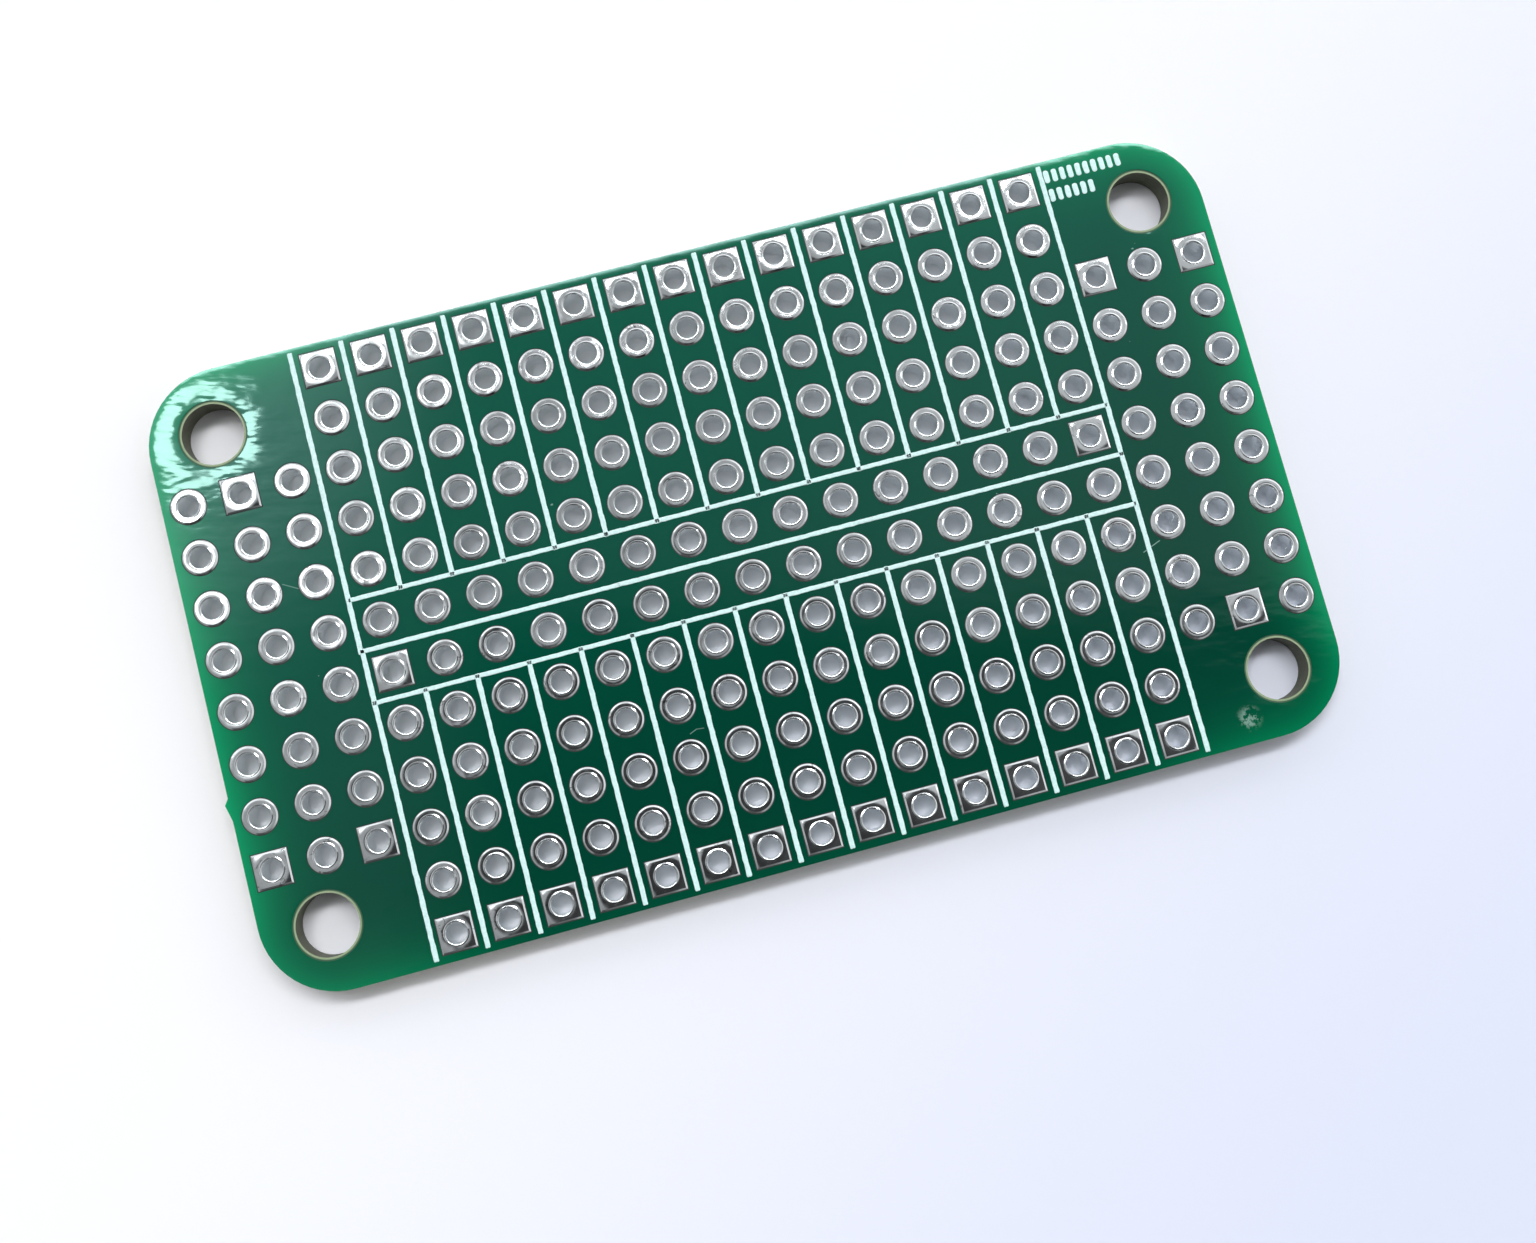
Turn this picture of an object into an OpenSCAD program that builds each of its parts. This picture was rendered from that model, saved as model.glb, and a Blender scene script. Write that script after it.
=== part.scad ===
// Prototype board: a drilled laminate with tinned plated holes on a 0.1 inch grid.
// Short strips stand above and below two long rails, with a block of longer columns at
// each end. Every joined group of holes has one square pad and a track on the underside.
// The lower half of the layout is the upper half turned by half a turn.
// X runs along the board and Y across it. The underside pads rest on Z = 0.

/* [Hole grid] */
// Distance between neighbouring lead holes
pitch = 2.54; // [2.4:0.01:3]
// Number of strips side by side, which is also the number of holes in a rail
strip_columns = 15; // [8:1:16]
// Holes in each strip
strip_holes = 5; // [4:1:7]
// Columns in the block at each end
side_columns = 3; // [2:1:4]
// Holes in each end column
side_holes = 8; // [4:2:8]

/* [Board] */
// From the outermost hole centres to the board's edge
edge_margin = 1.27; // [1.1:0.01:2.5]
// Radius of the board's corners
corner_r = 3.81; // [1:0.01:5]
// Thickness over the solder mask on both faces
board_t = 1.6; // [0.8:0.1:2.4]
// Diameter of the four screw holes
screw_d = 3; // [2:0.1:3.2]
// From the board's edges to the centre of each screw hole
screw_inset = 3.175; // [2.8:0.005:3.5]

/* [Break-off nub] */
// Length of the torn tab left on the left-hand edge
nub_len = 1.1; // [0.8:0.1:3]
// How far the torn tab stands out of the edge
nub_h = 0.2; // [0.05:0.01:0.3]
// From the upper end of the torn tab to its crest
nub_steep = 0.3; // [0.1:0.05:0.7]
// From the board's middle line down to the torn tab
nub_drop = 5.7; // [0:0.1:7]

/* [Plated holes] */
// Finished diameter of a lead hole
lead_d = 1; // [0.8:0.05:1.15]
// Width of the round and square pads
pad_w = 1.7; // [1.6:0.05:1.8]
// Thickness of the plating on a hole's wall
plating_t = 0.05; // [0.03:0.005:0.07]
// Thickness of the copper foil in each pad and track
foil_t = 0.035; // [0.02:0.005:0.07]
// Thickness of the tin on the face of a pad
tin_t = 0.04; // [0.03:0.005:0.06]
// Width of the slope along the edge of a pad's tin
tin_slope = 0.08; // [0.03:0.01:0.12]
// Height of the rolled rim round each hole above the face of its pad
rim_h = 0.015; // [0.005:0.005:0.03]
// Radius over which the rim rolls into the hole
rim_r = 0.07; // [0.05:0.005:0.08]
// Width of the rim's outer slope
rim_slope = 0.05; // [0.02:0.01:0.06]
// Width of the tracks on the underside
track_w = 0.6; // [0.3:0.05:0.8]

/* [Solder mask] */
// Thickness of the mask on the laminate and over the tracks
mask_t = 0.03; // [0.02:0.005:0.05]
// Bare gap round each pad
mask_gap = 0.05; // [0.03:0.01:0.1]
// Bare ring round each screw hole
screw_ring = 0.17; // [0.05:0.01:0.2]

/* [Legend] */
// Thickness of the printed lines
legend_t = 0.02; // [0.01:0.005:0.03]
// Width of the lines that run across the board
column_line_w = 0.25; // [0.15:0.01:0.3]
// Width of the lines that run along the rails
rail_line_w = 0.2; // [0.15:0.01:0.3]
// From the ends of the printed lines to the board's edge
legend_margin = 0.2; // [0.1:0.05:0.5]

/* [Hidden] */
$fn = 48;

function numbered(name, count) = [for (i = [1:count]) str(name, i < 10 ? "_0" : "_", i)];
STRIPS_TOP = numbered("conductor_strip_top", strip_columns);
STRIPS_BOTTOM = numbered("conductor_strip_bottom", strip_columns);
LEFT_COLUMNS = numbered("conductor_left_column", side_columns);
RIGHT_COLUMNS = numbered("conductor_right_column", side_columns);

laminate_yellow = "#a3ab6a";
mask_green = "#1d6b3d";
legend_white = "#e4f1ee";
tin_silver = "#b9b5ab";

// Grid: column 0 is the leftmost and row 0 the uppermost, with two rail rows in the middle.
columns = strip_columns + 2 * side_columns;
rows = 2 * strip_holes + 2;
first_strip = side_columns;
upper_rail = strip_holes;
first_side_row = (rows - side_holes) / 2;
function grid_x(column) = (column - (columns - 1) / 2) * pitch;
function grid_y(row) = ((rows - 1) / 2 - row) * pitch;

board_l = (columns - 1) * pitch + 2 * edge_margin;
board_w = (rows - 1) * pitch + 2 * edge_margin;
screw_x = board_l / 2 - screw_inset;
screw_y = board_w / 2 - screw_inset;

// Heights above the plane that the underside pads rest on
pad_face_h = foil_t + tin_t;
pad_h = pad_face_h + rim_h;
core_t = board_t - 2 * mask_t;
core_bottom = pad_h;
core_top = core_bottom + core_t;
face_top = core_top + mask_t;

lead_r = lead_d / 2;
pad_r = pad_w / 2;
drill_r = lead_r + plating_t;
rim_crest_r = lead_r + rim_r;
rim_foot_r = rim_crest_r + rim_slope;

// A net is one group of joined holes, as
// [first column, first row, columns per hole, rows per hole, holes, hole with the square pad].
// These are the nets of the upper half. The lower half has the same ones, turned.
function strip_net(i) = [first_strip + i, 0, 0, 1, strip_holes, 0];
function side_net(i) = [i, first_side_row, 0, 1, side_holes, i % 2 == 0 ? side_holes - 1 : 0];
rail_net = [first_strip, upper_rail, 1, 0, strip_columns, strip_columns - 1];
half_nets = concat(
    [for (i = [0:strip_columns - 1]) strip_net(i)],
    [rail_net],
    [for (i = [0:side_columns - 1]) side_net(i)]);
function hole_at(net, i) = [grid_x(net[0] + i * net[2]), grid_y(net[1] + i * net[3])];
function is_square(net, i) = i == net[5];

module turned() {
    rotate([0, 0, 180]) children();
}

module both_halves() {
    children();
    turned() children();
}

module at_corners(x, y) {
    for (side_x = [-1, 1], side_y = [-1, 1])
        translate([side_x * x, side_y * y]) children();
}

// Outline of the routed board, without the torn tab
module board_outline() {
    at_corners(board_l / 2 - corner_r, board_w / 2 - corner_r) circle(corner_r);
    square([board_l - 2 * corner_r, board_w], center = true);
    square([board_l, board_w - 2 * corner_r], center = true);
}

// What is left of the tab that held the board in its panel, torn steeply above its crest
module nub_outline() {
    upper = nub_len / 2;
    translate([-board_l / 2, -nub_drop])
        polygon([[nub_h, upper], [0, upper], [-nub_h, upper - nub_steep], [0, -upper], [nub_h, -upper]]);
}

module torn_board_outline() {
    board_outline();
    nub_outline();
}

module laminate() {
    color(laminate_yellow)
        translate([0, 0, core_bottom]) linear_extrude(core_t) difference() {
            torn_board_outline();
            at_corners(screw_x, screw_y) circle(d = screw_d);
            both_halves() for (net = half_nets, i = [0:net[4] - 1])
                translate(hole_at(net, i)) circle(drill_r);
        }
}

// Outline of a pad, grown by a margin
module pad_outline(square_pad, margin) {
    if (square_pad)
        square(pad_w + 2 * margin, center = true);
    else
        circle(pad_r + margin);
}

// The mask's outline, with a window for every pad and a bare ring round each screw hole
module mask_outline() {
    difference() {
        torn_board_outline();
        at_corners(screw_x, screw_y) circle(screw_d / 2 + screw_ring);
        both_halves() mask_windows();
    }
}

module mask_windows() {
    for (net = half_nets, i = [0:net[4] - 1])
        translate(hole_at(net, i)) pad_outline(is_square(net, i), mask_gap);
}

module solder_mask_top() {
    color(mask_green)
        translate([0, 0, core_top]) linear_extrude(mask_t) mask_outline();
}

// A band from the first hole of a net to its last
module net_band(net, width) {
    first = hole_at(net, 0);
    last = hole_at(net, net[4] - 1);
    translate([first[0] - width / 2, last[1] - width / 2])
        square([last[0] - first[0] + width, first[1] - last[1] + width]);
}

// The mask on the underside stands up over each track, and is open at the pads.
module solder_mask_bottom() {
    color(mask_green)
        translate([0, 0, core_bottom]) mirror([0, 0, 1]) difference() {
            union() {
                linear_extrude(mask_t) mask_outline();
                both_halves() for (net = half_nets)
                    linear_extrude(foil_t + mask_t) net_band(net, track_w + 2 * mask_t);
            }
            both_halves() {
                for (net = half_nets) linear_extrude(foil_t) net_band(net, track_w);
                linear_extrude(foil_t + 2 * mask_t) mask_windows();
            }
        }
}

// A printed line with round ends, straight along X or Y
module printed_line(from, to, width) {
    for (end = [from, to]) translate(end) circle(d = width);
    along_x = from[1] == to[1];
    size = [abs(to[0] - from[0]), abs(to[1] - from[1])];
    translate((from + to) / 2) square(along_x ? [size[0], width] : [width, size[1]], center = true);
}

// Lines between the columns and between the rails show which holes are joined.
module legend_half() {
    line_top = board_w / 2 - legend_margin - column_line_w / 2;
    rail_x = grid_x(first_strip - 0.5);
    rail_y = grid_y(upper_rail - 0.5);
    printed_line([rail_x, line_top], [rail_x, -line_top], column_line_w);
    printed_line([rail_x, rail_y], [-rail_x, rail_y], rail_line_w);
    for (i = [1:strip_columns - 1]) {
        line_x = grid_x(first_strip + i - 0.5);
        printed_line([line_x, line_top], [line_x, rail_y], column_line_w);
    }
}

module legend_top() {
    color(legend_white)
        translate([0, 0, face_top]) linear_extrude(legend_t) {
            both_halves() legend_half();
            printed_line([grid_x(first_strip - 0.5), 0], [-grid_x(first_strip - 0.5), 0], rail_line_w);
        }
}

// Section across a pad without its hole: foil below, and tin with sloping edges on it
module pad_section() {
    tin_edge = pad_r - tin_slope;
    polygon([
        [-pad_r, 0], [pad_r, 0], [pad_r, foil_t],
        [tin_edge, pad_face_h], [-tin_edge, pad_face_h], [-pad_r, foil_t]]);
}

// Half section of the rim, which slopes up from the pad's face and rolls over into the hole
module rim_section() {
    polygon([[rim_crest_r, 0], [rim_foot_r, 0], [rim_foot_r, pad_face_h], [rim_crest_r, pad_h]]);
    translate([lead_r, 0]) square([rim_r, pad_h - rim_r]);
    intersection() {
        translate([rim_crest_r, pad_h - rim_r]) circle(rim_r);
        translate([lead_r, pad_h - rim_r]) square(rim_r);
    }
}

// Half section of a round pad and the rim of its hole
module round_land_section() {
    rim_section();
    intersection() {
        pad_section();
        translate([rim_foot_r, 0]) square([pad_w, pad_h]);
    }
}

// A shape on the top of the laminate, and its mirror image on the underside
module on_both_faces() {
    translate([0, 0, core_top]) children();
    translate([0, 0, core_bottom]) mirror([0, 0, 1]) children();
}

// The same for a section, whose Y becomes the height when it is turned about the hole
module section_on_both_faces() {
    translate([0, core_top]) children();
    translate([0, core_bottom]) mirror([0, 1]) children();
    translate([lead_r, core_bottom]) square([plating_t, core_t]);
}

// Two crossed sections shape the tin on all four sides of a square pad.
module square_pad() {
    difference() {
        intersection() {
            rotate([90, 0, 0]) linear_extrude(pad_w, center = true) pad_section();
            rotate([90, 0, 90]) linear_extrude(pad_w, center = true) pad_section();
        }
        cylinder(r = rim_foot_r, h = 3 * pad_face_h, center = true);
    }
}

// A pad and a rolled rim on each face, joined by the plating on the hole's wall
module plated_hole(has_square_pad) {
    if (has_square_pad) {
        rotate_extrude() section_on_both_faces() rim_section();
        on_both_faces() square_pad();
    } else {
        rotate_extrude() section_on_both_faces() round_land_section();
    }
}

// Track on the underside between one hole and the next, ending inside their pads
module track(from, to) {
    end_r = (rim_foot_r + pad_r) / 2;
    link = pitch - 2 * end_r;
    size = from[1] == to[1] ? [link, track_w, foil_t] : [track_w, link, foil_t];
    translate([(from[0] + to[0] - size[0]) / 2, (from[1] + to[1] - size[1]) / 2, core_bottom - foil_t])
        cube(size);
}

module conductor(net) {
    color(tin_silver) {
        for (i = [0:net[4] - 1]) translate(hole_at(net, i)) plated_hole(is_square(net, i));
        for (i = [1:net[4] - 1]) track(hole_at(net, i - 1), hole_at(net, i));
    }
}

module strip_top(i) {
    conductor(strip_net(i));
}

module strip_bottom(i) {
    turned() conductor(strip_net(strip_columns - 1 - i));
}

module rail_upper() {
    conductor(rail_net);
}

module rail_lower() {
    turned() conductor(rail_net);
}

module left_column(i) {
    conductor(side_net(i));
}

module right_column(i) {
    turned() conductor(side_net(side_columns - 1 - i));
}

laminate();
solder_mask_top();
solder_mask_bottom();
legend_top();
rail_upper();  // conductor_rail_upper
rail_lower();  // conductor_rail_lower
for (i = [0:strip_columns - 1]) strip_top(i);
for (i = [0:strip_columns - 1]) strip_bottom(i);
for (i = [0:side_columns - 1]) left_column(i);
for (i = [0:side_columns - 1]) right_column(i);
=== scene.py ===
import math

import bpy
from mathutils import Matrix, Vector


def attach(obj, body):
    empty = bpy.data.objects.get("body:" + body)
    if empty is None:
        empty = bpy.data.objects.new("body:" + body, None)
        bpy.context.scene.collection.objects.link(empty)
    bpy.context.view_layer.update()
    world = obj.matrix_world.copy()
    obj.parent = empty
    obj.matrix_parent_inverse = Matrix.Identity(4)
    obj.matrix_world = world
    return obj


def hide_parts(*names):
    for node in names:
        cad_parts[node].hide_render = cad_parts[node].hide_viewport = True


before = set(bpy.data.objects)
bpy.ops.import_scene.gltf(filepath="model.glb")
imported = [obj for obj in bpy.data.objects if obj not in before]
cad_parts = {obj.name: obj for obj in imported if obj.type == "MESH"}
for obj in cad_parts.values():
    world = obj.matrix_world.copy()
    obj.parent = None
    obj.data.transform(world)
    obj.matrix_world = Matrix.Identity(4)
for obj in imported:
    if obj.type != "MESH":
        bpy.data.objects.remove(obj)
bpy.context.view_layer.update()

MM = 0.001

# The board's layout, in metres
PITCH = 2.54 * MM
COLUMNS = 21
ROWS = 12
STRIP_COLUMNS = 15
BOARD_T = 1.6 * MM
SCREW_R = 1.5 * MM
SCREW_INSET = 3.175 * MM
SCREW_RING = 0.17 * MM
CORNER_R = 3.81 * MM
EDGE_MARGIN = 1.27 * MM
BOARD_L = (COLUMNS - 1) * PITCH + 2 * EDGE_MARGIN
BOARD_W = (ROWS - 1) * PITCH + 2 * EDGE_MARGIN
SCREW_X = BOARD_L / 2 - SCREW_INSET
SCREW_Y = BOARD_W / 2 - SCREW_INSET

# The camera and its frame
FRAME_W = 1536
CAMERA_PLACE = (-0.0044614, -0.0095195, 0.0881985)
CAMERA_AXES = (
    (0.9657414, 0.2514530, -0.0641478),
    (-0.2573288, 0.9598745, -0.1114579),
    (0.0335474, 0.1241466, 0.9916966),
)
FOCAL_PX = 1800
SENSOR_MM = 36
SHIFT_PX = -80
NEAREST_SEEN = 0.001
FARTHEST_SEEN = 10


def srgb(red, green, blue):
    """A colour from its 0 to 255 display values, in the linear form that sockets take."""
    def linear(value):
        value /= 255
        return value / 12.92 if value <= 0.04045 else ((value + 0.055) / 1.055) ** 2.4

    return (linear(red), linear(green), linear(blue), 1)


class Graph:
    """A node tree, with short calls that add a node and give back its output."""

    def __init__(self, tree):
        self.nodes = tree.nodes
        self.links = tree.links

    def add(self, kind, **settings):
        node = self.nodes.new(kind)
        for name, value in settings.items():
            setattr(node, name, value)
        return node

    def feed(self, socket, value):
        if isinstance(value, bpy.types.NodeSocket):
            self.links.new(value, socket)
        else:
            socket.default_value = value

    def math(self, operation, *values):
        node = self.add("ShaderNodeMath", operation=operation)
        for socket, value in zip(node.inputs, values):
            self.feed(socket, value)
        return node.outputs[0]

    def product(self, value, *others):
        for other in others:
            value = self.math("MULTIPLY", value, other)
        return value

    def total(self, value, *others):
        for other in others:
            value = self.math("ADD", value, other)
        return value

    def vector_math(self, operation, *values, result=0):
        node = self.add("ShaderNodeVectorMath", operation=operation)
        for socket, value in zip(node.inputs, values):
            self.feed(socket, value)
        return node.outputs[result]

    def split(self, vector):
        node = self.add("ShaderNodeSeparateXYZ")
        self.feed(node.inputs[0], vector)
        return node.outputs[0], node.outputs[1], node.outputs[2]

    def join(self, x, y, z):
        node = self.add("ShaderNodeCombineXYZ")
        for socket, value in zip(node.inputs, (x, y, z)):
            self.feed(socket, value)
        return node.outputs[0]

    def fade(self, value, start, end, low=0.0, high=1.0):
        """A smooth step from low to high while value goes from start to end."""
        node = self.add("ShaderNodeMapRange", interpolation_type="SMOOTHSTEP")
        for socket, item in zip(node.inputs, (value, start, end, low, high)):
            self.feed(socket, item)
        return node.outputs[0]

    def blend(self, factor, first, second):
        """The first colour where factor is 0, and the second where it is 1."""
        node = self.add("ShaderNodeMix", data_type="RGBA", clamp_factor=True)
        self.feed(node.inputs[0], factor)
        self.feed(node.inputs[6], first)
        self.feed(node.inputs[7], second)
        return node.outputs[2]

    def noise(self, vector, scale, detail=2.0, roughness=0.5, distortion=0.0):
        node = self.add("ShaderNodeTexNoise")
        for name, value in (("Vector", vector), ("Scale", scale), ("Detail", detail),
                            ("Roughness", roughness), ("Distortion", distortion)):
            self.feed(node.inputs[name], value)
        return node.outputs[0]

    def bump(self, height, distance=1.0):
        """A normal for a height in metres, or for a value from 0 to 1 that is distance high."""
        node = self.add("ShaderNodeBump")
        self.feed(node.inputs["Height"], height)
        self.feed(node.inputs["Distance"], distance)
        self.feed(node.inputs["Strength"], 1.0)
        return node.outputs[0]

    def place(self):
        """Object coordinates, in metres."""
        return self.add("ShaderNodeTexCoord").outputs["Object"]

    def effect(self, tree, **values):
        """A shared effect, with its inputs set, as its outputs by name."""
        node = self.add("ShaderNodeGroup", node_tree=tree)
        for name, value in values.items():
            self.feed(node.inputs[name], value)
        return node.outputs


def new_material(name):
    """A material with a Principled shader, as (material, graph, shader)."""
    material = bpy.data.materials.new(name)
    material.use_nodes = True
    graph = Graph(material.node_tree)
    shader = next(n for n in graph.nodes if n.type == "BSDF_PRINCIPLED")
    return material, graph, shader


def dress(node, material):
    """Gives a CAD node its finish."""
    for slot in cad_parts[node].material_slots:
        slot.material = material


def new_effect(name, inputs, outputs):
    """An empty shared effect, as (tree, graph, its inputs, its output node)."""
    tree = bpy.data.node_groups.new(name, "ShaderNodeTree")
    for socket_name, default in inputs.items():
        socket = tree.interface.new_socket(socket_name, in_out="INPUT", socket_type="NodeSocketFloat")
        socket.default_value = default
    for socket_name, kind in outputs.items():
        tree.interface.new_socket(socket_name, in_out="OUTPUT", socket_type=kind)
    graph = Graph(tree)
    entry = graph.add("NodeGroupInput")
    leave = graph.add("NodeGroupOutput")
    return tree, graph, entry.outputs, leave.inputs


def pad_grid_effect():
    """How far a point lies from the nearest pad's middle, and that pad's own chance value, tilt and shift."""
    kinds = {
        "Distance": "NodeSocketFloat",
        "Chance": "NodeSocketFloat",
        "Tilt": "NodeSocketFloat",
        "Shift": "NodeSocketColor",
    }
    tree, graph, _, out = new_effect("pad_grid", {}, kinds)
    x, y, z = graph.split(graph.place())
    column = graph.math("ROUND", graph.math("DIVIDE", x, PITCH))
    row = graph.math("FLOOR", graph.math("DIVIDE", y, PITCH))
    side = graph.math("SIGN", graph.math("SUBTRACT", z, BOARD_T / 2))
    dx = graph.math("SUBTRACT", x, graph.product(column, PITCH))
    dy = graph.math("SUBTRACT", y, graph.product(graph.total(row, 0.5), PITCH))
    chance = graph.add("ShaderNodeTexWhiteNoise", noise_dimensions="3D")
    graph.feed(chance.inputs["Vector"], graph.join(column, row, side))
    red, green, _ = graph.split(chance.outputs["Color"])
    lean_x = graph.product(dx, graph.math("SUBTRACT", red, 0.5))
    lean_y = graph.product(dy, graph.math("SUBTRACT", green, 0.5))
    graph.feed(out["Distance"], graph.vector_math("LENGTH", graph.join(dx, dy, 0), result=1))
    graph.feed(out["Chance"], chance.outputs["Value"])
    graph.feed(out["Tilt"], graph.total(lean_x, lean_y))
    graph.feed(out["Shift"], chance.outputs["Color"])
    return tree


def outline_effect():
    """How deep a point lies inside the board's outline, and how far outside the nearest screw hole's wall."""
    kinds = {"Depth": "NodeSocketFloat", "Screw Gap": "NodeSocketFloat"}
    tree, graph, _, out = new_effect("board_outline", {}, kinds)
    x, y, _ = graph.split(graph.place())
    far_x = graph.math("ABSOLUTE", x)
    far_y = graph.math("ABSOLUTE", y)
    over_x = graph.math("SUBTRACT", far_x, BOARD_L / 2 - CORNER_R)
    over_y = graph.math("SUBTRACT", far_y, BOARD_W / 2 - CORNER_R)
    corner = graph.join(graph.math("MAXIMUM", over_x, 0), graph.math("MAXIMUM", over_y, 0), 0)
    outside = graph.vector_math("LENGTH", corner, result=1)
    inside = graph.math("MINIMUM", graph.math("MAXIMUM", over_x, over_y), 0)
    graph.feed(out["Depth"], graph.math("SUBTRACT", CORNER_R, graph.total(outside, inside)))
    centre_gap = graph.vector_math("DISTANCE", graph.join(far_x, far_y, 0), (SCREW_X, SCREW_Y, 0), result=1)
    graph.feed(out["Screw Gap"], graph.math("SUBTRACT", centre_gap, SCREW_R))
    return tree


MOTTLE_ROUGHNESS = 0.55
MOTTLE_SPAN = (0.3, 0.7)


def mottle_effect():
    """A soft uneven value from Low to High, with patches of the given scale, for colours and gloss."""
    inputs = {"Scale": 1000.0, "Detail": 2.0, "Low": 0.0, "High": 1.0}
    tree, graph, given, out = new_effect("mottle", inputs, {"Value": "NodeSocketFloat"})
    cloud = graph.noise(graph.place(), given["Scale"], given["Detail"], MOTTLE_ROUGHNESS)
    graph.feed(out["Value"], graph.fade(cloud, *MOTTLE_SPAN, given["Low"], given["High"]))
    return tree


def falloff(graph, distance, width):
    """A value of 1 at distance 0 that dies away over the width."""
    return graph.math("EXPONENT", graph.math("DIVIDE", distance, -width))


# Tin: its colours, its shape on a pad, and its gloss. A span is where a fade starts and ends.
TIN_DULL = srgb(217, 224, 223)
TIN_BRIGHT = srgb(234, 240, 240)
TIN_STAIN = srgb(84, 90, 88)
# Painted light: a lighter tin colour for the hole walls, standing in for the light that reaches into the
# holes.
TIN_IN_HOLE_PAINTED_LIGHT = srgb(245, 250, 251)
HOLE_WALL_SPAN = (0.535 * MM, 0.505 * MM)
PAD_SHIFT = 0.01
LUMPS_PER_M = 1300
LUMPY_PADS = (0.4, 1)
LUMP_HEIGHTS = (0.006 * MM, 0.022 * MM)
CREST_R = 0.71 * MM
CREST_TO_HOLE = -0.09 * MM
DOME = -250
PAD_LEAN = 0.035
STAINS_PER_M = 2600
STAIN_SPAN = (0.6, 0.68)
STAINED_PADS = (0.3, 0.9)
MOST_STAIN = 0.6
TIN_GLOSS = {"Scale": 3000, "Detail": 1, "Low": 0.07, "High": 0.13}
HOLE_DULLNESS = 0.1


def tin_finish():
    """Hot levelled tin: glossy and slightly domed on each pad, with lumps, and duller inside the holes, where
    its colour is painted lighter as painted light.
    """
    material, graph, shader = new_material("hot_levelled_tin")
    pad = graph.effect(pad_grid)
    in_hole = graph.fade(pad["Distance"], *HOLE_WALL_SPAN)
    shift = graph.vector_math("MULTIPLY", pad["Shift"], (PAD_SHIFT, PAD_SHIFT, PAD_SHIFT))
    moved = graph.vector_math("ADD", graph.place(), shift)
    lump_height = graph.fade(pad["Chance"], *LUMPY_PADS, *LUMP_HEIGHTS)
    lumps = graph.product(graph.noise(moved, LUMPS_PER_M, 1.0, 0.4), lump_height)
    off_crest = graph.math("MAXIMUM", graph.math("SUBTRACT", pad["Distance"], CREST_R), CREST_TO_HOLE)
    dome = graph.product(off_crest, off_crest, DOME)
    height = graph.total(lumps, graph.product(pad["Tilt"], PAD_LEAN), dome)
    marks = graph.noise(moved, STAINS_PER_M, 3.0, 0.65, 0.8)
    most = graph.fade(pad["Chance"], *STAINED_PADS, 0, MOST_STAIN)
    stain = graph.product(graph.fade(marks, *STAIN_SPAN), most)
    tone = graph.blend(stain, graph.blend(pad["Chance"], TIN_DULL, TIN_BRIGHT), TIN_STAIN)
    # The hole walls take the lighter tin colour: painted light inside the holes.
    graph.feed(shader.inputs["Base Color"], graph.blend(in_hole, tone, TIN_IN_HOLE_PAINTED_LIGHT))
    shader.inputs["Metallic"].default_value = 1.0
    gloss = graph.effect(mottle, **TIN_GLOSS)["Value"]
    graph.feed(shader.inputs["Roughness"], graph.total(gloss, graph.product(in_hole, HOLE_DULLNESS)))
    graph.feed(shader.inputs["Normal"], graph.bump(height))
    return material


# Wear on the printed face: fine scratches, as two ends in millimetres and a strength, and one scuffed patch
SCRATCHES = (
    ((-4.84, -7.8), (-4.5, -7.66), 0.35),
    ((-4.5, -7.66), (-4.15, -7.7), 0.25),
    ((18.75, -4.95), (19.65, -4.6), 0.5),
    ((-21.9, 4.1), (-21.2, 3.7), 0.25),
)
SCUFF_PLACE = (21.45 * MM, -14.0 * MM, 0)
SCUFF_R = 0.75 * MM
SCUFF_CORE = 0.2 * SCUFF_R
SCRATCH_SPAN = (0.035 * MM, 0.008 * MM)
RUBBED_PER_M = 3200
RUBBED_SPAN = (0.46, 0.62)
RUBBED = 0.5
SPECKS_PER_M = 2100
SPECK_SPAN = (0.79, 0.83)
SPECK = 0.35
PRINTED_FACE_SPAN = (0.6 * MM, 1 * MM)


def scratch_mark(graph, flat_place, first, last, strength):
    """A value along one fine scratch from first to last, in millimetres across the face."""
    start = Vector((*first, 0)) * MM
    run = Vector((*last, 0)) * MM - start
    off = graph.vector_math("SUBTRACT", flat_place, tuple(start))
    along = graph.vector_math("DOT_PRODUCT", off, tuple(run / run.length_squared), result=1)
    along = graph.math("MINIMUM", graph.math("MAXIMUM", along, 0), 1)
    nearest = graph.vector_math("MULTIPLY", graph.join(along, along, 0), tuple(run))
    gap = graph.vector_math("DISTANCE", off, nearest, result=1)
    return graph.fade(gap, *SCRATCH_SPAN, 0, strength)


def wear_marks(graph):
    """A value where the printed face is scratched, scuffed or carries a speck."""
    x, y, z = graph.split(graph.place())
    flat_place = graph.join(x, y, 0)
    scuff_gap = graph.vector_math("DISTANCE", flat_place, SCUFF_PLACE, result=1)
    rubbed = graph.fade(graph.noise(graph.place(), RUBBED_PER_M, 3.0, 0.7), *RUBBED_SPAN, 0, RUBBED)
    scuff = graph.product(graph.fade(scuff_gap, SCUFF_R, SCUFF_CORE), rubbed)
    specks = graph.fade(graph.noise(graph.place(), SPECKS_PER_M, 2.0, 0.5), *SPECK_SPAN, 0, SPECK)
    marks = graph.math("MAXIMUM", scuff, specks)
    for first, last, strength in SCRATCHES:
        marks = graph.math("MAXIMUM", marks, scratch_mark(graph, flat_place, first, last, strength))
    return graph.product(marks, graph.fade(z, *PRINTED_FACE_SPAN))
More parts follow.
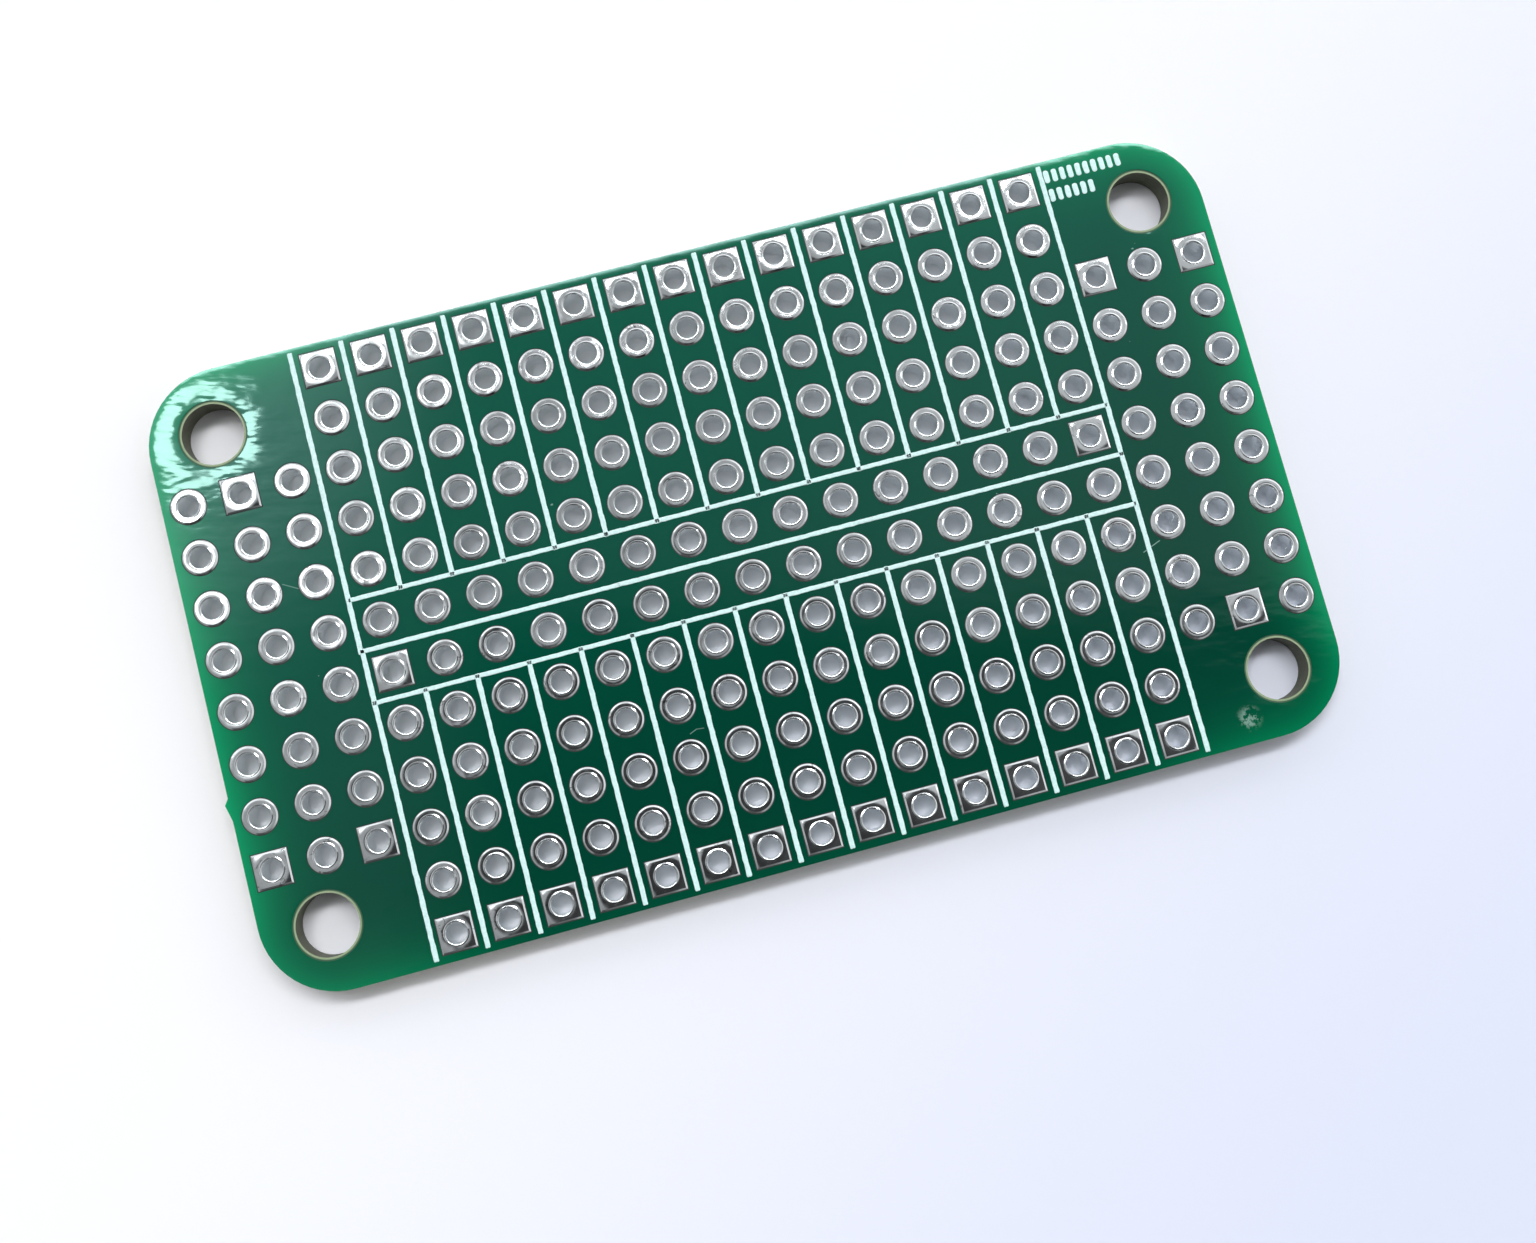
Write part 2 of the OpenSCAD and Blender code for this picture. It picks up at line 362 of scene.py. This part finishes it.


# Solder mask: its colours, with a painted glow at the edges and painted shade darker towards the bottom, and
# the lie of its surface
# Painted shade and painted light: a darker green towards the bottom and a lighter one towards the top left,
# for how light falls across the board.
MASK_PAINTED_SHADE_LOW = srgb(0, 61, 44)
MASK_PAINTED_LIGHT_HIGH = srgb(0, 82, 62)
MASK_CLOUD = srgb(0, 66, 54)
MASK_OVER_TRACK = srgb(0, 112, 72)
# Painted glow: a light green by the board's outline, standing in for light scattered in through the edges.
MASK_EDGE_PAINTED_GLOW = srgb(0, 156, 98)
MASK_WORN = srgb(178, 214, 200)
MASK_SHEEN = (0.6, 1.0, 0.92, 1)
MASK_ROUGHNESS = 0.06
WORN_ROUGHNESS = 0.4
PAINTED_LIGHT_SPAN = (-14 * MM, 14 * MM)
PAINTED_LIGHT_LEAN = 0.25
CLOUDS = {"Scale": 300, "Detail": 3}
CLOUD_SHARE = 0.25
TRACK_SPAN = (0.055 * MM, 0.03 * MM)
TRACK_SHARE = 0.75
GLOW_W = 1.1 * MM
GLOW_ENDS_SPAN = (13 * MM, 24 * MM)
GLOW_ENDS = (0.15, 0.85)
GLOW_LOW_SPAN = (-15 * MM, -8 * MM)
GLOW_LOW = (0.6, 1)
ROLL_W = 0.35 * MM
ROLL_DEPTH = -0.016 * MM
DIP_W = 0.4 * MM
DIP_DEPTH = -0.018 * MM
STREAKS_PER_M = 1300
STREAK_STRETCH = (0.4, 1, 1)
STREAK_LEAST = 0.003 * MM
STREAK_AT_SCREW = 0.02 * MM
STREAK_W = 2.2 * MM


def mask_finish():
    """Green solder mask: painted glow lighter by the edges, lighter over tracks, painted shade darker towards
    the bottom and painted light towards the top left, rolling off at the outline and screw holes.
    """
    material, graph, shader = new_material("green_solder_mask")
    x, y, z = graph.split(graph.place())
    outline = graph.effect(board_outline)
    # Painted glow by the outline, stronger towards the ends and weaker by the bottom edge, where less light
    # falls.
    ends = graph.fade(graph.math("ABSOLUTE", x), *GLOW_ENDS_SPAN, *GLOW_ENDS)
    low_side = graph.fade(y, *GLOW_LOW_SPAN, *GLOW_LOW)
    glow = graph.product(falloff(graph, outline["Depth"], GLOW_W), graph.product(ends, low_side))
    # Painted shade towards the bottom and painted light towards the top left, as a colour slope across the
    # mask.
    painted_light_slope = graph.fade(graph.math("SUBTRACT", y, graph.product(x, PAINTED_LIGHT_LEAN)), *PAINTED_LIGHT_SPAN)
    clouds = graph.effect(mottle, **CLOUDS)["Value"]
    deep = graph.blend(painted_light_slope, MASK_PAINTED_SHADE_LOW, MASK_PAINTED_LIGHT_HIGH)
    deep = graph.blend(graph.product(clouds, CLOUD_SHARE), deep, MASK_CLOUD)
    deep = graph.blend(graph.fade(z, *TRACK_SPAN, 0, TRACK_SHARE), deep, MASK_OVER_TRACK)
    colour = graph.blend(glow, deep, MASK_EDGE_PAINTED_GLOW)
    marks = wear_marks(graph)
    graph.feed(shader.inputs["Base Color"], graph.blend(marks, colour, MASK_WORN))
    graph.feed(shader.inputs["Roughness"], graph.total(MASK_ROUGHNESS, graph.product(marks, WORN_ROUGHNESS)))
    shader.inputs["Specular Tint"].default_value = MASK_SHEEN
    roll = graph.product(falloff(graph, outline["Depth"], ROLL_W), ROLL_DEPTH)
    screw_rim = graph.math("SUBTRACT", outline["Screw Gap"], SCREW_RING)
    dip = graph.product(falloff(graph, screw_rim, DIP_W), DIP_DEPTH)
    turned = graph.add("ShaderNodeVectorRotate", rotation_type="Z_AXIS")
    graph.feed(turned.inputs["Vector"], graph.place())
    turned.inputs["Angle"].default_value = -ROOM_TURN
    long_way = graph.vector_math("MULTIPLY", turned.outputs[0], STREAK_STRETCH)
    near_screw = falloff(graph, screw_rim, STREAK_W)
    streak_height = graph.total(STREAK_LEAST, graph.product(near_screw, STREAK_AT_SCREW))
    streaks = graph.product(graph.noise(long_way, STREAKS_PER_M, 2.0, 0.5), streak_height)
    height = graph.total(streaks, graph.total(roll, dip))
    graph.feed(shader.inputs["Normal"], graph.bump(height))
    return material


INK_THIN = srgb(206, 241, 236)
INK_FULL = srgb(222, 250, 246)
INK_SPOTS = {"Scale": 7000, "Detail": 2}
INK_SPOT_H = 0.005 * MM


def legend_finish():
    """White printed ink, slightly uneven and matt."""
    material, graph, shader = new_material("printed_legend_ink")
    spots = graph.effect(mottle, **INK_SPOTS)["Value"]
    graph.feed(shader.inputs["Base Color"], graph.blend(spots, INK_THIN, INK_FULL))
    shader.inputs["Roughness"].default_value = 0.5
    graph.feed(shader.inputs["Normal"], graph.bump(spots, INK_SPOT_H))
    return material


# Laminate: routed edge, drilled screw holes with painted shade on their walls, the bare ring round them with
# a painted highlight at the rim, and the gaps round the pads in painted shade
EDGE_THREADS = (srgb(118, 124, 84), srgb(176, 176, 132))
# Painted shade: darker threads for the screw hole walls, where shade falls.
DRILLED_THREADS_PAINTED_SHADE = (srgb(58, 66, 48), srgb(96, 98, 74))
# Painted highlight: a pale line at the screw hole's rim, where the edge catches light.
SCREW_RIM_HIGHLIGHT = srgb(150, 168, 130)
RING_FOOT = srgb(40, 84, 56)
# Painted shade: the laminate in the narrow gaps round the pads is painted dark.
PAD_GAP_PAINTED_SHADE = srgb(24, 40, 32)
THREADS_PER_M = 1800
THREAD_STRETCH = (1, 1, 7)
THREAD_H = 0.03 * MM
AT_SCREW_SPAN = (0.6 * MM, 0.3 * MM)
RIM_HIGHLIGHT_SPAN = (0.05 * MM, 0.12 * MM)
LAMINATE_FACE_SPAN = (1.62 * MM, 1.628 * MM)


def laminate_finish():
    """Glass fibre laminate: painted shade dark in the gaps round the pads and on the screw hole walls, a
    painted highlight pale at the screw hole rims, threads on the edges.
    """
    material, graph, shader = new_material("glass_fibre_laminate")
    place = graph.place()
    _, _, z = graph.split(place)
    outline = graph.effect(board_outline)
    threads = graph.noise(graph.vector_math("MULTIPLY", place, THREAD_STRETCH), THREADS_PER_M, 2.0, 0.6)
    at_screw = graph.fade(outline["Screw Gap"], *AT_SCREW_SPAN)
    # The screw hole walls take the darker threads as painted shade.
    wall = graph.blend(at_screw, graph.blend(threads, *EDGE_THREADS), graph.blend(threads, *DRILLED_THREADS_PAINTED_SHADE))
    # A painted highlight, pale at the rim, fading into the ring's dark green.
    ring = graph.blend(graph.fade(outline["Screw Gap"], *RIM_HIGHLIGHT_SPAN), SCREW_RIM_HIGHLIGHT, RING_FOOT)
    # Away from the screws the laminate face shows only in the gaps round the pads, in painted shade.
    top = graph.blend(at_screw, PAD_GAP_PAINTED_SHADE, ring)
    graph.feed(shader.inputs["Base Color"], graph.blend(graph.fade(z, *LAMINATE_FACE_SPAN), wall, top))
    shader.inputs["Roughness"].default_value = 0.6
    graph.feed(shader.inputs["Normal"], graph.bump(threads, THREAD_H))
    return material


PAPER_SIZE = 1.2
PAPER_LIT = srgb(253, 254, 255)
PAPER_SHADED = srgb(224, 230, 246)
PAPER_FADE_ALONG = (0.6, 0.8)
PAPER_SPAN = (-0.02, 0.05)


def paper_floor():
    """A sheet of pale bluish paper under the board."""
    bpy.ops.object.select_all(action="DESELECT")
    bpy.ops.mesh.primitive_plane_add(size=PAPER_SIZE, location=(0, 0, 0))
    floor = bpy.context.object
    floor.name = "paper"
    material, graph, shader = new_material("bluish_paper")
    x, y, _ = graph.split(graph.place())
    right, down = PAPER_FADE_ALONG
    across = graph.math("SUBTRACT", graph.product(x, right), graph.product(y, down))
    shade = graph.fade(across, *PAPER_SPAN)
    graph.feed(shader.inputs["Base Color"], graph.blend(shade, PAPER_LIT, PAPER_SHADED))
    shader.inputs["Roughness"].default_value = 0.9
    floor.data.materials.append(material)


LAMP_DISTANCE = 2.0
CEILING_LAMP_SLOPE = (-0.266, 0.272)
CEILING_LAMP_R = 0.085
CEILING_LAMP_POWER = 1.6


def ceiling_lamp():
    """A small round lamp high over the board's top left, which glares in the mask there."""
    data = bpy.data.lights.new("ceiling_lamp", "AREA")
    data.shape = "DISK"
    data.size = 2 * CEILING_LAMP_R
    data.energy = CEILING_LAMP_POWER
    lamp = bpy.data.objects.new("ceiling_lamp", data)
    bpy.context.collection.objects.link(lamp)
    lamp.location = Vector((*CEILING_LAMP_SLOPE, 1)).normalized() * LAMP_DISTANCE
    lamp.rotation_euler = (-lamp.location).to_track_quat("-Z", "Y").to_euler()


# The room's brightness by direction. A direction is given by its slopes from straight up:
# how far it leans across, to the right, and along, to the top, once the room is turned.
ROOM_TURN = math.radians(-14.8)
ROOM_LEVEL = 0.95
ROOM_BLUE = 1.04
LEAST_UP = 0.02
DIM = 0.38
MEDIUM = 0.6
DIM_SPAN = (-0.02, 0.2)
NEAR_SPAN = (-0.9, -0.1)
NEAR_SHARE = 0.25
FAR_SIDE = 0.9
FAR_SPAN = (0.75, 1.1)
HORIZON_SPAN = (2.5, 0.9)
HORIZON_SHARE = 0.35
RIGHT_SIDE = 0.3
RIGHT_SPAN = (0.4, 0.9)
LEFT_SIDE = 0.25
LEFT_SPAN = (-0.6, -0.9)
PANEL = 17.0
PANEL_SKEW = 0.25
PANEL_LOW_SPAN = (0.35, 0.4)
PANEL_HIGH_SPAN = (0.57, 0.49)
PANEL_LEFT_SPAN = (-0.5, -0.38)
PANEL_RIGHT_SPAN = (0.5, 0.35)
LAMP_HALO = 2.0
LAMP_HALO_SLOPE = (-0.37, 0.25)
LAMP_HALO_R = 0.25
DARK_SHARE = 0.9
DARK_HIGH_SPAN = (0.12, 0.06)
DARK_LEFT_SPAN = (-0.19, -0.1)
DARK_LOW_SPAN = (-1.2, -0.8)
DARK_RIGHT_SPAN = (0.7, 0.5)


def room():
    """The room's light by direction: dim straight above, where something dark hangs, and brighter round."""
    world = bpy.data.worlds.new("room")
    bpy.context.scene.world = world
    world.use_nodes = True
    graph = Graph(world.node_tree)
    background = next(n for n in graph.nodes if n.type == "BACKGROUND")
    x, y, z = graph.split(graph.add("ShaderNodeTexCoord").outputs["Generated"])
    up = graph.math("MAXIMUM", z, LEAST_UP)
    right_slope = graph.math("DIVIDE", x, up)
    top_slope = graph.math("DIVIDE", y, up)
    c, d = math.cos(ROOM_TURN), math.sin(ROOM_TURN)
    across = graph.total(graph.product(right_slope, c), graph.product(top_slope, d))
    along = graph.math("SUBTRACT", graph.product(top_slope, c), graph.product(right_slope, d))

    base = graph.fade(across, *DIM_SPAN, DIM, MEDIUM)
    base = graph.product(base, graph.fade(along, *NEAR_SPAN, NEAR_SHARE, 1))
    left = graph.fade(across, *LEFT_SPAN, 0, LEFT_SIDE)
    far = graph.fade(along, *FAR_SPAN, 0, FAR_SIDE)
    far = graph.product(far, graph.fade(along, *HORIZON_SPAN, HORIZON_SHARE, 1))
    right = graph.fade(across, *RIGHT_SPAN, 0, RIGHT_SIDE)
    level = graph.total(graph.total(base, left), graph.total(far, right))

    skewed = graph.math("SUBTRACT", along, graph.product(across, PANEL_SKEW))
    panel = graph.fade(skewed, *PANEL_LOW_SPAN, 0, PANEL)
    panel = graph.product(panel, graph.fade(skewed, *PANEL_HIGH_SPAN))
    panel_ends = graph.product(graph.fade(across, *PANEL_LEFT_SPAN), graph.fade(across, *PANEL_RIGHT_SPAN))
    halo_gap = graph.vector_math("DISTANCE", graph.join(across, along, 0), (*LAMP_HALO_SLOPE, 0), result=1)
    halo = graph.fade(halo_gap, LAMP_HALO_R, LAMP_HALO_R / 2, 0, LAMP_HALO)
    level = graph.total(level, graph.product(panel, panel_ends), halo)

    near = graph.product(graph.fade(along, *DARK_HIGH_SPAN), graph.fade(across, *DARK_LEFT_SPAN))
    rest = graph.product(graph.fade(along, *DARK_LOW_SPAN), graph.fade(across, *DARK_RIGHT_SPAN))
    dark = graph.product(near, rest)
    level = graph.product(level, graph.math("SUBTRACT", 1, graph.product(dark, DARK_SHARE)))
    graph.feed(background.inputs["Color"], graph.join(level, level, graph.product(level, ROOM_BLUE)))
    background.inputs["Strength"].default_value = ROOM_LEVEL


# The printed legend: its lines, each as two strokes, and two rows of plain dashes
FACE_Z = 1.66 * MM
INK_H = 0.02 * MM
COLUMN_LINE_W = 0.25 * MM
RAIL_X = STRIP_COLUMNS / 2 * PITCH
RAIL_Y = PITCH
LINE_TOP = BOARD_W / 2 - 0.325 * MM
STATION = 0.13 * MM
COLUMN_STROKE_W = 0.138 * MM
COLUMN_STROKES = (-0.054 * MM, 0.054 * MM)
RAIL_STROKE_W = 0.13 * MM
RAIL_STROKES = (-0.042 * MM, 0.042 * MM)
COLUMN_CREEP = 0.06 * MM
RAIL_CREEP = 0.05 * MM
CREEP_SIZE = 0.35 * MM
BAR_END = 0.499
BAR_ROUNDING = 0.42
BAR_CREST = 0.62
BAR_END_SLOPE = 0.6
DASH_W = 0.27 * MM
DASH_H = 0.66 * MM
DASH_ROWS = ((19.35 * MM, 14.43 * MM, 10), (19.37 * MM, 13.45 * MM, 6))
DASH_PITCH = 0.41 * MM
LOWER_LEFT_NUDGE = 0.07 * MM


def pick(mesh, test):
    """In object mode, selects the edges whose two ends pass the test, and nothing else."""
    bpy.context.tool_settings.mesh_select_mode = (False, True, False)
    for group in (mesh.vertices, mesh.edges, mesh.polygons):
        group.foreach_set("select", [False] * len(group))
    for edge in mesh.edges:
        edge.select = test(*(mesh.vertices[i].co for i in edge.vertices))


def ink_bar(name, width, length):
    """A bar of ink along Y with rounded ends and sloping sides, cut into short stations along its length."""
    bpy.ops.object.select_all(action="DESELECT")
    bpy.ops.mesh.primitive_cube_add(size=1, location=(0, 0, 0))
    bar = bpy.context.object
    bar.name = name
    bar.scale = (width, length, INK_H)
    bpy.ops.object.transform_apply(location=False, rotation=False, scale=True)
    mesh = bar.data
    pick(mesh, lambda a, b: abs(a.y - b.y) > length / 2)
    bpy.ops.object.mode_set(mode="EDIT")
    bpy.ops.mesh.subdivide(number_cuts=max(2, round(length / STATION) - 1))
    bpy.ops.object.mode_set(mode="OBJECT")
    pick(mesh, lambda a, b: abs(a.z - b.z) > INK_H / 2 and abs(a.y) > BAR_END * length)
    bpy.ops.object.mode_set(mode="EDIT")
    bpy.ops.mesh.bevel(offset=BAR_ROUNDING * width, segments=3)
    bpy.ops.object.mode_set(mode="OBJECT")
    pick(mesh, lambda a, b: a.z > 0 and b.z > 0)
    bpy.ops.object.mode_set(mode="EDIT")
    bpy.ops.transform.resize(value=(BAR_CREST, 1 - BAR_END_SLOPE * width / length, 1))
    bpy.ops.object.mode_set(mode="OBJECT")
    return bar


def lay(bar, places, turn=0.0):
    """Copies of a bar on the board's face, each with its own mesh; the pattern bar itself is removed."""
    copies = []
    for x, y in places:
        mesh = bar.data.copy()
        mesh.transform(Matrix.Translation((x, y, FACE_Z + INK_H / 2)) @ Matrix.Rotation(turn, 4, "Z"))
        copy = bpy.data.objects.new(bar.name, mesh)
        bpy.context.collection.objects.link(copy)
        copies.append(copy)
    bpy.data.objects.remove(bar)
    return copies


def join_pieces(pieces, name):
    """The pieces as one object of that name."""
    bpy.ops.object.select_all(action="DESELECT")
    for piece in pieces:
        piece.select_set(True)
    bpy.context.view_layer.objects.active = pieces[0]
    bpy.ops.object.join()
    whole = bpy.context.object
    whole.name = name
    return whole


def make_ragged(piece, axis, reach):
    """Moves a piece's sides in and out along one axis by a cloud pattern, as ink that has crept."""
    cloud = bpy.data.textures.new("crept_ink_" + axis.lower(), "CLOUDS")
    cloud.noise_scale = CREEP_SIZE
    cloud.noise_depth = 2
    shift = piece.modifiers.new("crept", "DISPLACE")
    shift.texture = cloud
    shift.texture_coords = "LOCAL"
    shift.direction = axis
    shift.strength = reach
    shift.mid_level = 0.5
    bpy.ops.object.select_all(action="DESELECT")
    piece.select_set(True)
    bpy.context.view_layer.objects.active = piece
    bpy.ops.object.modifier_apply(modifier="crept")


def printed_lines():
    """Every line of the legend, each as two strokes side by side, and the dashes."""
    long_y = LINE_TOP / 2
    ends = [x + shift for x in (-RAIL_X, RAIL_X) for shift in COLUMN_STROKES]
    long_places = [(x, y) for x in ends for y in (long_y, -long_y)]
    long_places = [(x + (LOWER_LEFT_NUDGE if x < 0 and y < 0 else 0), y) for x, y in long_places]
    short_y = (LINE_TOP + RAIL_Y) / 2
    columns = [-RAIL_X + i * PITCH for i in range(1, STRIP_COLUMNS)]
    strokes = [x + shift for x in columns for shift in COLUMN_STROKES]
    short_places = [(x, y) for x in strokes for y in (short_y, -short_y)]
    third = 2 * RAIL_X / 3
    rail_rows = [y + shift for y in (RAIL_Y, 0, -RAIL_Y) for shift in RAIL_STROKES]
    rail_places = [(x, y) for x in (-third, 0, third) for y in rail_rows]
    dash_places = [(x + i * DASH_PITCH, y) for x, y, count in DASH_ROWS for i in range(count)]
    upright = lay(ink_bar("long_stroke", COLUMN_STROKE_W, LINE_TOP + COLUMN_LINE_W), long_places)
    upright += lay(ink_bar("short_stroke", COLUMN_STROKE_W, LINE_TOP - RAIL_Y + COLUMN_LINE_W), short_places)
    upright += lay(ink_bar("dash", DASH_W, DASH_H), dash_places)
    level = lay(ink_bar("rail_stroke", RAIL_STROKE_W, third + RAIL_STROKE_W), rail_places, math.pi / 2)
    upright_lines = join_pieces(upright, "upright_lines")
    make_ragged(upright_lines, "X", COLUMN_CREEP)
    level_lines = join_pieces(level, "level_lines")
    make_ragged(level_lines, "Y", RAIL_CREEP)
    lines = join_pieces([upright_lines, level_lines], "printed_lines")
    lines.data.materials.clear()
    lines.data.materials.append(legend_finish())
    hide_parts("legend_top")
    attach(lines, "root")


def camera():
    """The view from above the board, with a long lens."""
    data = bpy.data.cameras.new("camera")
    data.sensor_fit = "HORIZONTAL"
    data.sensor_width = SENSOR_MM
    data.lens = FOCAL_PX / FRAME_W * SENSOR_MM
    data.shift_y = SHIFT_PX / FRAME_W
    data.clip_start = NEAREST_SEEN
    data.clip_end = FARTHEST_SEEN
    view = bpy.data.objects.new("camera", data)
    bpy.context.collection.objects.link(view)
    view.matrix_world = Matrix.Translation(CAMERA_PLACE) @ Matrix(CAMERA_AXES).to_4x4()
    bpy.context.scene.camera = view


bpy.context.scene.view_settings.view_transform = "Standard"
camera()
ceiling_lamp()
room()
paper_floor()

pad_grid = pad_grid_effect()
board_outline = outline_effect()
mottle = mottle_effect()
tin = tin_finish()
mask = mask_finish()
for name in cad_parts:
    if name.startswith("conductor"):
        dress(name, tin)
dress("solder_mask_top", mask)
dress("solder_mask_bottom", mask)
printed_lines()
dress("laminate", laminate_finish())
